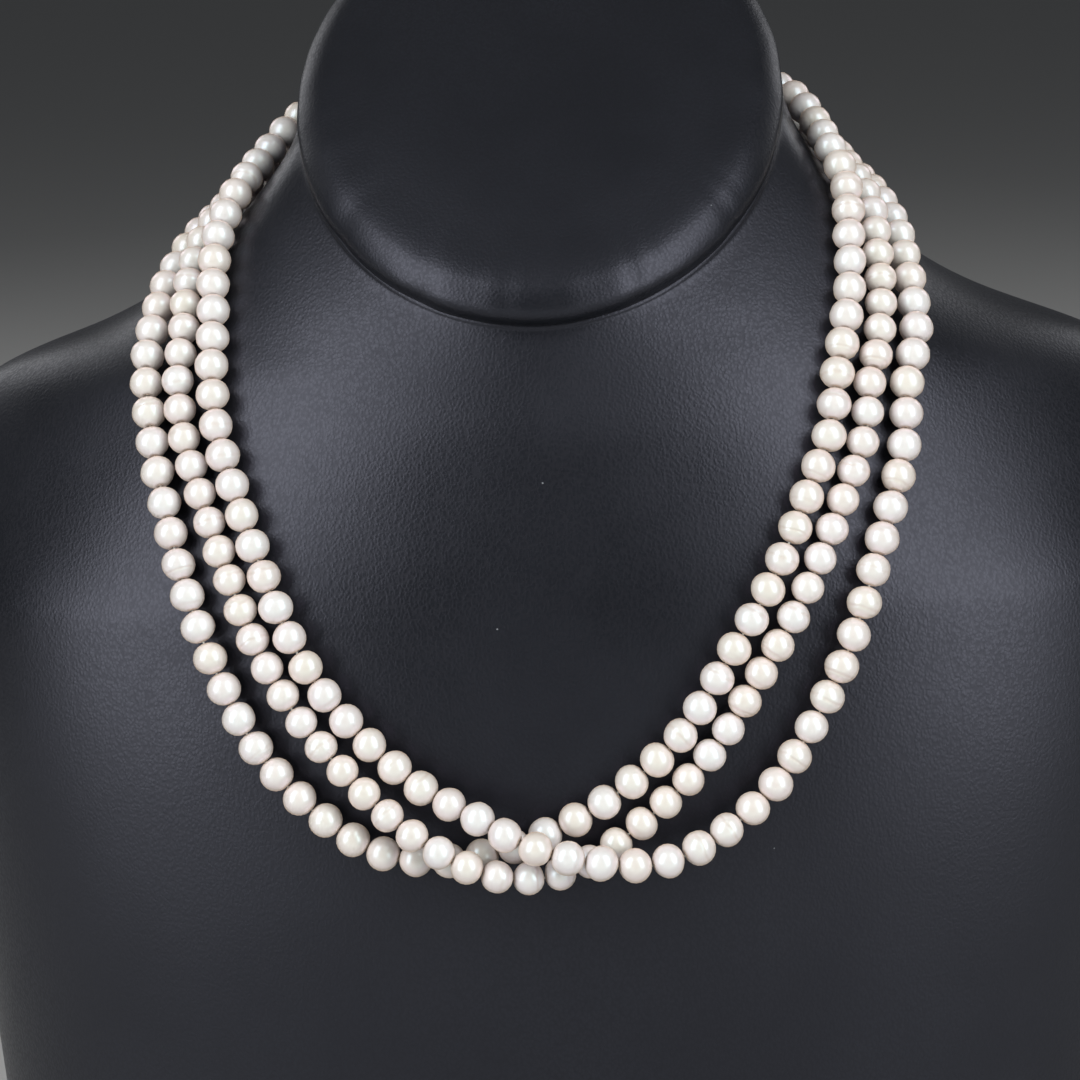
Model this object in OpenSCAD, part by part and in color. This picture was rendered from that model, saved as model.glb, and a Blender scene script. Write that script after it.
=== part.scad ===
/* [Pearls] */
// Width of the pearls of the top and the under strand
pearl_width = 6.3; // [5.6:0.1:6.4]
// Width of the pearls of the middle strand
middle_pearl_width = 6.0; // [5.2:0.1:6.1]
// Length of a pearl along its thread, as a share of its width
pearl_roundness = 0.92; // [0.8:0.01:0.98]
// Free space between two pearls of one strand
pearl_gap = 0.24; // [0.22:0.02:0.6]
// Diameter of the hole drilled through each pearl
drill_diameter = 1.1; // [0.9:0.1:1.6]
// Diameter of the thread that carries the pearls
thread_diameter = 0.4; // [0.2:0.05:0.5]
// Clearance between a strand that lies down and what it lies on
rest_gap = 0.3; // [0.3:0.05:0.6]
// Clearance between two strands that lie side by side
strand_gap = 0.25; // [0.25:0.05:0.6]

/* [Clasp] */
// Width of the clasp, from the threads of one side to those of the other
clasp_width = 20; // [14:1:24]
// Height of the clasp, over its three rows
clasp_height = 18; // [16:0.5:22]
// Thickness of the clasp
clasp_thickness = 4.4; // [3:0.2:6]
// Rounding of the clasp's four upright edges
clasp_rounding = 1.6; // [0.5:0.1:2]
// Bare thread between the clasp and the first pearl
end_gap = 2; // [1:0.5:6]

/* [Bust] */
// Height of the bust at the back edge of its neck
bust_height = 260; // [250:2:275]
// Width across the shoulders
bust_width = 244; // [230:2:260]
// Depth of the chest in front of the neck's axis
chest_depth = 67; // [62:1:74]
// Depth of the back behind the neck's axis
back_depth = 44; // [40:1:56]
// Rounding under the base
base_rounding = 2.5; // [1:0.5:5]

/* [Neck] */
// Width of the neck at its oval face
neck_width = 92; // [86:1:98]
// Depth of the neck in front of its axis
neck_front = 46; // [43:1:50]
// Depth of the neck behind its axis
neck_back = 38; // [34:1:42]
// Depth of the oval face in front of the neck's axis
face_front = 48.5; // [46:0.5:52]
// Slope of the oval face, from level
face_tilt = 40; // [34:1:44]
// Rounding of the neck's upper edge
rim_rounding = 1.2; // [0.6:0.2:2]
// Height below the oval face over which the neck turns into its outline
rim_blend = 14; // [10:1:18]

/* [Padded face] */
// Distance of the padded face's edge inside the neck's edge
pad_margin = 0.6; // [0.2:0.1:2]
// Radius of the padded face's rolled edge
pad_roll = 4.4; // [3:0.2:6]
// Rise of the padded face's middle above its rolled edge
pad_crown = 1.2; // [0.4:0.2:3]
// Clearance under the padded face
pad_gap = 0.3; // [0.2:0.05:0.5]

/* [Hidden] */
$fn = 32;

// Columns of a bust section
HEIGHT = 0;
FLARE = 1;
CHEST = 2;
BACK = 3;
POWER = 4;

// Sections of the bust from the base up. Height is a share of bust_height. Flare goes from the neck's
// width (0) to the shoulders' (1), chest and back from the neck's depth (0) to the chest's or back's (1).
// Power shapes the front half: under 1 it is full at its sides, over 1 it sweeps back to them.
SECTIONS = [
    [0.000, 0.870, 0.76, 0.65, 0.80],
    [0.155, 0.910, 0.90, 0.85, 0.80],
    [0.305, 0.950, 1.00, 1.00, 0.75],
    [0.440, 0.985, 0.95, 1.00, 0.75],
    [0.540, 1.000, 0.81, 1.00, 0.85],
    [0.600, 1.000, 0.64, 0.95, 1.25],
    [0.650, 0.940, 0.45, 0.85, 1.55],
    [0.685, 0.765, 0.25, 0.75, 1.40],
    [0.710, 0.530, 0.12, 0.65, 1.15],
    [0.737, 0.355, 0.05, 0.55, 1.00],
    [0.763, 0.245, 0.02, 0.45, 0.90],
    [0.800, 0.125, 0.00, 0.30, 0.75],
    [0.840, 0.030, 0.00, 0.15, 0.65],
    [0.890, 0.000, 0.00, 0.00, 0.80],
    [1.000, 0.000, 0.00, 0.00, 0.90],
];

// Columns of the strands' route
ANGLE = 0;
LEVEL = 1;
MIDDLE_LIFT = 2;
TOP_SIDE = 3;
TOP_LIFT = 4;
UNDER_SIDE = 5;
UNDER_LIFT = 6;

// Angle at which the strands reach the clasp's sides
end_angle = acos((clasp_width / 2 + rest_gap) / (neck_width / 2));

// Route of the strands over the bust, chosen by hand, from the clasp's +X end round the front to its other
// end. The middle strand's points have their angle round the neck's axis in degrees, from +X towards the
// front, and their level as a percentage of bust_height. The two others lie beside each point, by a share
// of the distance that keeps two strands clear, positive where they are lower or further out on the +X
// side. Lifts are heights off the bust, in pearl widths, where a strand passes over another.
ROUTE = [
    [-end_angle, 85.5, 0, 1, 0, -1, 0],
    [-60, 85, 0, 1, 0, -1, 0],
    [-40, 84, 0, 1, 0, -1, 0],
    [-20, 82.5, 0, 1, 0, -1.1, 0],
    [-3, 80.5, 0, 1, 0, -1.1, 0],
    [11, 78, 0, 1, 0, -1, 0],
    [25, 75.5, 0, 1, 0, -1, 0],
    [38, 72.5, 0, 1, 0, -1, 0],
    [51, 69.5, 0, 1.1, 0, -1.1, 0],
    [58, 67, 0, 1.1, 0, -1, 0],
    [61.5, 63, 0, 1.2, 0, -1, 0],
    [64.5, 58.5, 0, 1.4, 0, -1, 0],
    [67.5, 53.5, 0, 1.7, 0, -1, 0],
    [71.5, 48.5, 0, 2, 0, -1, 0],
    [76, 43, 0, 1.9, 0.25, -1, 0],
    [82, 38.5, 0.05, 1.1, 0.95, -1.1, 0],
    [88, 35.5, 0.3, -0.7, 1.25, -1.2, 0],
    [94, 35.5, 0.85, -1.3, 1.1, -0.6, 0],
    [98, 37, 1.1, -1.3, 0.6, 0.4, 0],
    [103, 39.5, 0.65, -1.1, 0.2, 1.3, 0],
    [110, 45, 0.15, -1, 0, 1.6, 0],
    [114.5, 50.5, 0, -1, 0, 1.4, 0],
    [117.5, 56, 0, -1, 0, 1.3, 0],
    [120.5, 61.5, 0, -1, 0, 1.1, 0],
    [124.5, 66, 0, -1.1, 0, 1, 0],
    [130.5, 69, 0, -1.1, 0, 1.1, 0],
    [141, 71.5, 0, -1, 0, 1.1, 0],
    [156, 74.5, 0, -1, 0, 1, 0],
    [172, 77.5, 0, -1, 0, 1, 0],
    [186, 80, 0, -1, 0, 1, 0],
    [202, 82.5, 0, -1, 0, 1, 0],
    [220, 84, 0, -1, 0, 1, 0],
    [240, 85, 0, -1, 0, 1, 0],
    [180 + end_angle, 85.5, 0, -1, 0, 1, 0],
];

// Power of the back half's curve, below 1 fuller than an oval
back_power = 0.8;
// Power that keeps the fold of a swept front half away from its sides
side_power = 4;
// Power of the neck's turn into the oval face's outline, over 1 keeps most of it near the edge
rim_power = 2.5;
// Columns of points round the bust and the padded face
round_steps = 64;
// Share of bust_height at which rings of points start to lean towards the oval face
collar = 0.52;
// Rings of points below the collar, and above it
level_rings = 9;
leaning_rings = 30;
// Steps on the rounded edges of the bust, and on the padded face's roll and crown
edge_steps = 4;
roll_steps = 8;
crown_steps = 4;
// Steps between two points of the route
route_steps = 14;
// Sides of a thread
thread_sides = 6;
// Half of the degree or millimetre over which a rate of change is taken
half_unit = 0.5;

// Height of the oval face's middle, on the neck's axis
face_height = bust_height - neck_back * tan(face_tilt);
// Distance between the lines of two strands that lie side by side
strand_spacing = (pearl_width + middle_pearl_width) / 2 + strand_gap;
// Height of the middle strand's line above what it lies on
middle_seat = middle_pearl_width / 2 + rest_gap;

function unit(v) = v / norm(v);

// Smooth curve through the bust's sections: rates of change at the rows, then a section at any height
last_row = len(SECTIONS) - 1;
function row_step(i) = SECTIONS[i + 1][HEIGHT] - SECTIONS[i][HEIGHT];
function row_rate(i) = (SECTIONS[i + 1] - SECTIONS[i]) / row_step(i);
function mean_rate(i) =
    (row_rate(i - 1) * row_step(i) + row_rate(i) * row_step(i - 1)) / (row_step(i) + row_step(i - 1));
RATES = [for (i = [0 : last_row]) i == 0 ? row_rate(0) : i == last_row ? row_rate(i - 1) : mean_rate(i)];

function rows_up_to(share) = len([for (row = SECTIONS) if (row[HEIGHT] <= share) row]);

function section(share) =
    let (
        i = min(max(rows_up_to(share) - 1, 0), last_row - 1),
        step = row_step(i),
        u = (share - SECTIONS[i][HEIGHT]) / step
    )
    (2 * pow(u, 3) - 3 * pow(u, 2) + 1) * SECTIONS[i]
    + (pow(u, 3) - 2 * pow(u, 2) + u) * step * RATES[i]
    + (3 * pow(u, 2) - 2 * pow(u, 3)) * SECTIONS[i + 1]
    + (pow(u, 3) - pow(u, 2)) * step * RATES[i + 1];

// Point of the level section at a height, drawn in by an inset. Its front half has an oval's ends.
function level_point(angle, z, inset = 0) =
    let (
        row = section(z / bust_height),
        half_width = neck_width / 2 + row[FLARE] * (bust_width - neck_width) / 2 - inset,
        front = neck_front + row[CHEST] * (chest_depth - neck_front) - inset,
        back = neck_back + row[BACK] * (back_depth - neck_back) - inset,
        turn = sin(angle),
        power = row[POWER] - max(row[POWER] - 1, 0) * pow(1 - abs(turn), side_power),
        y = turn >= 0 ? -front * pow(turn, power) : back * pow(-turn, back_power)
    )
    [half_width * cos(angle), y, z];

// Point of the oval face's outline, drawn in by an inset and raised from the face
face_middle_y = (neck_back - face_front) / 2;
face_half_length = (neck_back + face_front) / 2 / cos(face_tilt);
FACE_OUTWARD = [0, -sin(face_tilt), cos(face_tilt)];
function face_point(angle, inset, rise) =
    let (y = face_middle_y - (face_half_length - inset) * cos(face_tilt) * sin(angle))
    [(neck_width / 2 - inset) * cos(angle), y, face_height + tan(face_tilt) * y] + FACE_OUTWARD * rise;
function rim_point(angle) = face_point(angle, 0, -rim_rounding);

// Point of the bust's side: the level section, turning into the oval face's outline below the rim
function bust_point(angle, z) =
    let (
        rim = rim_point(angle),
        change = rim - level_point(angle, rim.z),
        share = min(max((z - rim.z) / rim_blend + 1, 0), 1)
    )
    level_point(angle, z) + [change.x, change.y, 0] * pow(share, rim_power);

// Direction straight out of the bust's surface
function outward(angle, z) =
    let (
        here = bust_point(angle, z),
        sideways = bust_point(angle + half_unit, z) - bust_point(angle - half_unit, z),
        upwards = bust_point(angle, z + half_unit / 2) - bust_point(angle, z - half_unit / 2),
        square_on = unit(cross(sideways, upwards))
    )
    square_on * sign(square_on.x * here.x + square_on.y * here.y);

// Point at a height above the bust's surface
function above(angle, z, height) = bust_point(angle, z) + outward(angle, z) * height;

// Rings of points: at a level, on the way from the collar up to the rim, and along the oval face's outline
RING_ANGLES = [for (i = [0 : round_steps - 1]) i * 360 / round_steps];
function level_ring(z, inset = 0) = [for (angle = RING_ANGLES) level_point(angle, z, inset)];
function leaning_ring(share) =
    let (z = collar * bust_height)
    [for (angle = RING_ANGLES) bust_point(angle, z + (rim_point(angle).z - z) * share)];
function face_ring(inset, rise) = [for (angle = RING_ANGLES) face_point(angle, inset, rise)];

// Closed skin over rings of points that go clockwise when seen from the last ring's side
module skin(rings) {
    sides = len(rings[0]);
    last = len(rings) - 1;
    first_middle = sides * len(rings);
    ring_points = [for (ring = rings) each ring];
    middles = [for (k = [0, last]) (rings[k][floor(sides / 4)] + rings[k][floor(sides * 3 / 4)]) / 2];
    walls = [for (k = [0 : last - 1], i = [0 : sides - 1])
        let (a = k * sides + i, b = k * sides + (i + 1) % sides)
        each [[a, b, a + sides], [b, b + sides, a + sides]]];
    first_end = [for (i = [0 : sides - 1]) [first_middle, (i + 1) % sides, i]];
    last_end = [for (i = [0 : sides - 1])
        [first_middle + 1, last * sides + i, last * sides + (i + 1) % sides]];
    polyhedron(concat(ring_points, middles), concat(walls, first_end, last_end));
}

// Change of angle and height that moves a point above the bust by a distance in a direction
function shift(angle, z, direction, distance) =
    let (
        by_angle = above(angle + half_unit, z, middle_seat) - above(angle - half_unit, z, middle_seat),
        by_z = above(angle, z + half_unit, middle_seat) - above(angle, z - half_unit, middle_seat),
        aa = by_angle * by_angle,
        az = by_angle * by_z,
        zz = by_z * by_z,
        angle_share = by_angle * direction * distance,
        z_share = by_z * direction * distance
    )
    [angle_share * zz - z_share * az, z_share * aa - angle_share * az] / (aa * zz - az * az);

// Points of the three strands' routes: angle, height and lift
MIDDLE_POINTS = [for (row = ROUTE) [row[ANGLE], row[LEVEL] / 100 * bust_height, row[MIDDLE_LIFT]]];

function beside(i, side, lift) =
    let (
        here = MIDDLE_POINTS[i],
        last = MIDDLE_POINTS[max(i - 1, 0)],
        next = MIDDLE_POINTS[min(i + 1, len(ROUTE) - 1)],
        run = above(next[0], next[1], middle_seat) - above(last[0], last[1], middle_seat),
        across = unit(cross(outward(here[0], here[1]), run)),
        distance = side * strand_spacing,
        half_way = shift(here[0], here[1], across, distance / 2),
        whole_way = shift(here[0] + half_way[0], here[1] + half_way[1], across, distance)
    )
    [here[0] + whole_way[0], here[1] + whole_way[1], lift];

TOP_POINTS = [for (i = [0 : len(ROUTE) - 1]) beside(i, ROUTE[i][TOP_SIDE], ROUTE[i][TOP_LIFT])];
UNDER_POINTS = [for (i = [0 : len(ROUTE) - 1]) beside(i, ROUTE[i][UNDER_SIDE], ROUTE[i][UNDER_LIFT])];

// Smooth curve through a route's points, and the strand's line above the bust along it
function between(p, q, r, s, u) =
    (2 * q + (r - p) * u + (2 * p - 5 * q + 4 * r - s) * pow(u, 2) + (3 * q - p - 3 * r + s) * pow(u, 3)) / 2;

function smooth(points) =
    let (
        last = len(points) - 1,
        ends = [2 * points[0] - points[1], 2 * points[last] - points[last - 1]],
        all = concat([ends[0]], points, [ends[1]])
    )
    concat(
        [for (i = [1 : last], k = [0 : route_steps - 1])
            between(all[i - 1], all[i], all[i + 1], all[i + 2], k / route_steps)],
        [points[last]]
    );

function strand_line(points, width) =
    [for (p = smooth(points)) above(p[0], p[1], width / 2 + rest_gap + max(p[2], 0) * width)];

function distances(line) =
    [for (i = 0, way = 0; i < len(line); way = way + norm(line[min(i + 1, len(line) - 1)] - line[i]), i = i + 1)
        way];

// Points between the pearls of a strand, evenly spaced along its line
function strand_joints(line, width) =
    let (
        way = distances(line),
        beaded = way[len(way) - 1] - 2 * end_gap,
        count = floor(beaded / (width * pearl_roundness + pearl_gap)),
        tables = [for (axis = [0 : 2]) [for (i = [0 : len(line) - 1]) [way[i], line[i][axis]]]]
    )
    [for (k = [0 : count]) [for (table = tables) lookup(end_gap + beaded * k / count, table)]];

TOP_LINE = strand_line(TOP_POINTS, pearl_width);
MIDDLE_LINE = strand_line(MIDDLE_POINTS, middle_pearl_width);
UNDER_LINE = strand_line(UNDER_POINTS, pearl_width);
TOP_JOINTS = strand_joints(TOP_LINE, pearl_width);
MIDDLE_JOINTS = strand_joints(MIDDLE_LINE, middle_pearl_width);
UNDER_JOINTS = strand_joints(UNDER_LINE, pearl_width);

// The clasp's seat behind the neck: its middle row's height, and its inner face
clasp_z = ROUTE[0][LEVEL] / 100 * bust_height;
clasp_inner_y = bust_point(270, clasp_z - clasp_height / 2).y + rest_gap;

// The whole model is centred over its base from front to back
REACHES = [for (joints = [TOP_JOINTS, MIDDLE_JOINTS, UNDER_JOINTS]) each [for (p = joints) p.y]];
front_reach = max(chest_depth, -min(REACHES) + pearl_width / 2);
back_reach = max(back_depth, max(REACHES) + pearl_width / 2, clasp_inner_y + clasp_thickness);
module centred() translate([0, (front_reach - back_reach) / 2, 0]) children();

// Near-round pearl, drilled along Z
module pearl(width) {
    end_radius = width * pearl_roundness / 2;
    rotate_extrude()
        difference() {
            translate([width / 2 - end_radius, 0]) circle(r = end_radius);
            translate([-width, -width]) square([width + drill_diameter / 2, 2 * width]);
        }
}

// A pearl between each two joints, with its hole along the thread
module pearls(joints, width)
    for (k = [1 : len(joints) - 1]) {
        run = unit(joints[k] - joints[k - 1]);
        translate((joints[k] + joints[k - 1]) / 2)
            rotate([0, acos(run.z), atan2(run.y, run.x)])
                pearl(width);
    }

// Thread straight through the pearls, from one side of the clasp to the other
module thread(line, joints) {
    first = line[0];
    last = line[len(line) - 1];
    clasp_side = clasp_width / 2 + rest_gap;
    way = concat([[clasp_side, first.y, first.z], first], joints, [last, [-clasp_side, last.y, last.z]]);
    rings = [for (i = [0 : len(way) - 1])
        let (
            run = unit(way[min(i + 1, len(way) - 1)] - way[max(i - 1, 0)]),
            side = unit(cross(run, [way[i].x, way[i].y, 0])),
            up = cross(side, run)
        )
        [for (k = [0 : thread_sides - 1])
            let (turn = k * 360 / thread_sides)
            way[i] + (side * cos(turn) + up * sin(turn)) * thread_diameter / 2]];
    skin(rings);
}

// Neck bust: a flat base with a rounded edge, chest, shoulders and neck, and the slanted oval face on top
module bust_form() {
    base_rings = [for (k = [0 : edge_steps])
        let (turn = -90 + k * 90 / edge_steps)
        level_ring(base_rounding * (1 + sin(turn)), base_rounding * (1 - cos(turn)))];
    level_rise = collar * bust_height - base_rounding;
    chest_rings = [for (k = [1 : level_rings]) level_ring(base_rounding + level_rise * k / level_rings)];
    shoulder_rings = [for (k = [1 : leaning_rings]) leaning_ring(k / leaning_rings)];
    rim_rings = [for (k = [1 : edge_steps])
        let (turn = k * 90 / edge_steps)
        face_ring(rim_rounding * (1 - cos(turn)), rim_rounding * (sin(turn) - 1))];
    color("#23262a") centred() skin(concat(base_rings, chest_rings, shoulder_rings, rim_rings));
}

// Padded oval cover on the slanted face, with a rolled edge and a low crown
module neck_pad() {
    roll_rings = [for (k = [0 : roll_steps])
        let (turn = -90 + k * 180 / roll_steps)
        face_ring(pad_margin + pad_roll * (1 - cos(turn)), pad_gap + pad_roll * (1 + sin(turn)))];
    edge = roll_rings[roll_steps];
    middle = (edge[0] + edge[round_steps / 2]) / 2;
    crown_rings = [for (k = [1 : crown_steps])
        let (share = 1 - k / (crown_steps + 1))
        [for (p = edge) middle + (p - middle) * share + FACE_OUTWARD * pad_crown * (1 - pow(share, 2))]];
    color("#2b2e33") centred() skin(concat(roll_rings, crown_rings));
}

module top_strand_pearls() color("#efe9de") centred() pearls(TOP_JOINTS, pearl_width);
module middle_strand_pearls() color("#f3eee6") centred() pearls(MIDDLE_JOINTS, middle_pearl_width);
module under_strand_pearls() color("#e9e2d5") centred() pearls(UNDER_JOINTS, pearl_width);
module top_strand_thread() color("#ffffff") centred() thread(TOP_LINE, TOP_JOINTS);
module middle_strand_thread() color("#ffffff") centred() thread(MIDDLE_LINE, MIDDLE_JOINTS);
module under_strand_thread() color("#ffffff") centred() thread(UNDER_LINE, UNDER_JOINTS);

// Clasp behind the neck, one plain piece with rounded upright edges
module clasp() {
    color("#c9b27a")
        centred()
            translate([0, clasp_inner_y + clasp_thickness / 2, clasp_z - clasp_height / 2])
                union() {
                    inner_width = clasp_width - 2 * clasp_rounding;
                    inner_thickness = clasp_thickness - 2 * clasp_rounding;
                    translate([-clasp_width / 2, -inner_thickness / 2, 0])
                        cube([clasp_width, inner_thickness, clasp_height]);
                    translate([-inner_width / 2, -clasp_thickness / 2, 0])
                        cube([inner_width, clasp_thickness, clasp_height]);
                    for (x = [-1, 1], y = [-1, 1])
                        translate([x * inner_width / 2, y * inner_thickness / 2, 0])
                            cylinder(h = clasp_height, r = clasp_rounding);
                }
}

bust_form();
neck_pad();
top_strand_pearls();
middle_strand_pearls();
under_strand_pearls();
top_strand_thread();
middle_strand_thread();
under_strand_thread();
clasp();
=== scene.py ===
"""Looks of a three-strand pearl necklace on a leather-covered neck bust with a padded oval face."""
import logging
import math
from dataclasses import dataclass, field
from enum import Enum
from functools import cache
from typing import Optional, Sequence

import bmesh
import bpy
import numpy as np
from bpy.types import Material, Mesh, Node, NodeOutputs, NodeSocket, NodeTree, Object
from mathutils import Matrix, Vector, noise


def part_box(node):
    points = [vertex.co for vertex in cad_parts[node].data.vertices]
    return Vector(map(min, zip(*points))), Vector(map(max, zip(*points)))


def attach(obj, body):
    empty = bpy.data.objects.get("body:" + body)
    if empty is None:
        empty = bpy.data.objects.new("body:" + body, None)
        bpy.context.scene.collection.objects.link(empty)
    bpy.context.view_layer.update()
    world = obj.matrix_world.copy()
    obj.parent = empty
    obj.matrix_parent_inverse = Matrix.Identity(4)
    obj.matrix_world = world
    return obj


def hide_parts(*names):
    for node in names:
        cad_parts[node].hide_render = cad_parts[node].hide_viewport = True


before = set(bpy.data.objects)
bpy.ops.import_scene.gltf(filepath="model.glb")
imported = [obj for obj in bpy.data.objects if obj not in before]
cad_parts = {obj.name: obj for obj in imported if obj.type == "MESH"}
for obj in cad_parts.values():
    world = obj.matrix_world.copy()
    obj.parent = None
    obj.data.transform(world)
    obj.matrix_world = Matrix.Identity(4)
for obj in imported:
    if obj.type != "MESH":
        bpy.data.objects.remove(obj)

MM = 0.001
ROOT_BODY = "root"
LOG = logging.getLogger("necklace")

# Lengths under this, in metres, count as none
TINY_M = 1e-6

# Numbers of the Mix node's share and two colours, and of its mixed colour
MIX_INPUTS = (0, 6, 7)
MIX_OUTPUT = 2

# Names that the pearls' meshes and the nacre share
NACRE_MAP = "nacre"
PEARL_PICK = "pearl_pick"
THREAD_RUN = "thread_run"

Colour = tuple[float, float, float, float]
Pair = tuple[float, float]


class NoiseReach(Enum):
    """How far a low swell of the leather reaches from one rise to the next, in metres."""

    BROAD = 0.045
    FINE = 0.014


class Side(Enum):
    """Side of the camera on which a soft light stands, as a sign along X."""

    LEFT = -1
    RIGHT = 1


@dataclass(frozen=True)
class Canvas:
    """A node tree that is being built, with short ways to add and join nodes.

    Attributes:
        tree: The shader or geometry tree.
    """

    tree: NodeTree

    def add(self, kind: str, inputs: Optional[dict] = None, **settings: object) -> Node:
        """Adds a node.

        Args:
            kind: The node's type name.
            inputs: Values or sockets by input name or number.
            **settings: Properties of the node.

        Returns:
            The new node.
        """
        node = self.tree.nodes.new(kind)
        for name, value in settings.items():
            setattr(node, name, value)
        self.feed(node, inputs or {})
        return node

    def feed(self, node: Node, inputs: dict) -> None:
        """Fills a node's inputs: a socket is linked, and any other value is set.

        Args:
            node: The node.
            inputs: Values or sockets by input name or number.
        """
        for name, value in inputs.items():
            if isinstance(value, NodeSocket):
                self.tree.links.new(value, node.inputs[name])
            else:
                node.inputs[name].default_value = value

    def math(self, operation: str, *values: object) -> NodeSocket:
        """Adds a Math node over numbers or sockets and returns its result."""
        return self.add("ShaderNodeMath", dict(enumerate(values)), operation=operation).outputs[0]

    def vector(self, operation: str, first: object, second: object) -> NodeSocket:
        """Adds a Vector Math node over two vectors, or a vector and a scale, and returns its result."""
        inputs = {0: first, "Scale" if operation == "SCALE" else 1: second}
        return self.add("ShaderNodeVectorMath", inputs, operation=operation).outputs[0]

    def clouds(self, place: NodeSocket, per_m: object, detail: float) -> NodeOutputs:
        """Adds a noise texture at a place and returns its outputs."""
        inputs = {"Vector": place, "Scale": per_m, "Detail": detail}
        return self.add("ShaderNodeTexNoise", inputs).outputs

    def cells(self, place: NodeSocket, per_m: NodeSocket) -> NodeOutputs:
        """Adds a texture of cells round scattered points at a place and returns its outputs."""
        return self.add("ShaderNodeTexVoronoi", {"Vector": place, "Scale": per_m}, feature="F1").outputs

    def bump(self, height: NodeSocket, depth_mm: float, strength: float = 1.0) -> NodeSocket:
        """Adds a Bump node over a height and returns its normal."""
        inputs = {"Height": height, "Strength": strength, "Distance": depth_mm * MM}
        return self.add("ShaderNodeBump", inputs).outputs["Normal"]

    def stretch(
        self, value: NodeSocket, low: float, high: float, to_low: float = 0.0, to_high: float = 1.0
    ) -> NodeSocket:
        """Maps a value from one range to another, smoothly and without leaving it.

        Args:
            value: The socket to map.
            low: Value that becomes to_low.
            high: Value that becomes to_high.
            to_low: First end of the new range.
            to_high: Other end of the new range.

        Returns:
            The mapped value.
        """
        inputs = {"Value": value, "From Min": low, "From Max": high, "To Min": to_low, "To Max": to_high}
        return self.add("ShaderNodeMapRange", inputs, interpolation_type="SMOOTHSTEP").outputs["Result"]

    def blend(self, share: object, first: object, second: object) -> NodeSocket:
        """Mixes two colours.

        Args:
            share: Share of the second colour.
            first: Colour or socket.
            second: Colour or socket.

        Returns:
            The mixed colour.
        """
        inputs = dict(zip(MIX_INPUTS, (share, first, second)))
        node = self.add("ShaderNodeMix", inputs, data_type="RGBA", blend_type="MIX", clamp_factor=True)
        return node.outputs[MIX_OUTPUT]


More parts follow.
